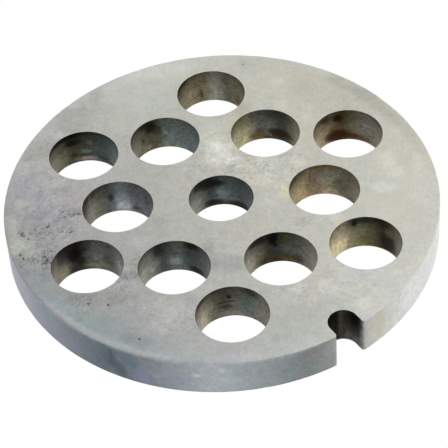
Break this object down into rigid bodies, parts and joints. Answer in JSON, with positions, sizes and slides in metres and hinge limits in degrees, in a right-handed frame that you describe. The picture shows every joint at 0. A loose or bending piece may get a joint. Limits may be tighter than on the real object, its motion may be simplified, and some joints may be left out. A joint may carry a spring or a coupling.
{
  "type": "meat grinder plate",
  "caption": "Flat round steel mincer plate with a ring pattern of drilled holes, a central bore for the feed screw's stud and a rim notch that keys it in the grinder head.",
  "frame": {"origin": "centre of the stud bore at the plate's lower face", "axes": "+Z along the bore axis, out of the upper face; the key notch points along -Y"},
  "size_m": [0.062, 0.0619, 0.0059],
  "materials": {
    "ground_steel": "surface-ground tool steel, satin, worn and lightly stained"
  },
  "bodies": {
    "root": {"plate": "ground_steel"}
  },
  "joints": []
}
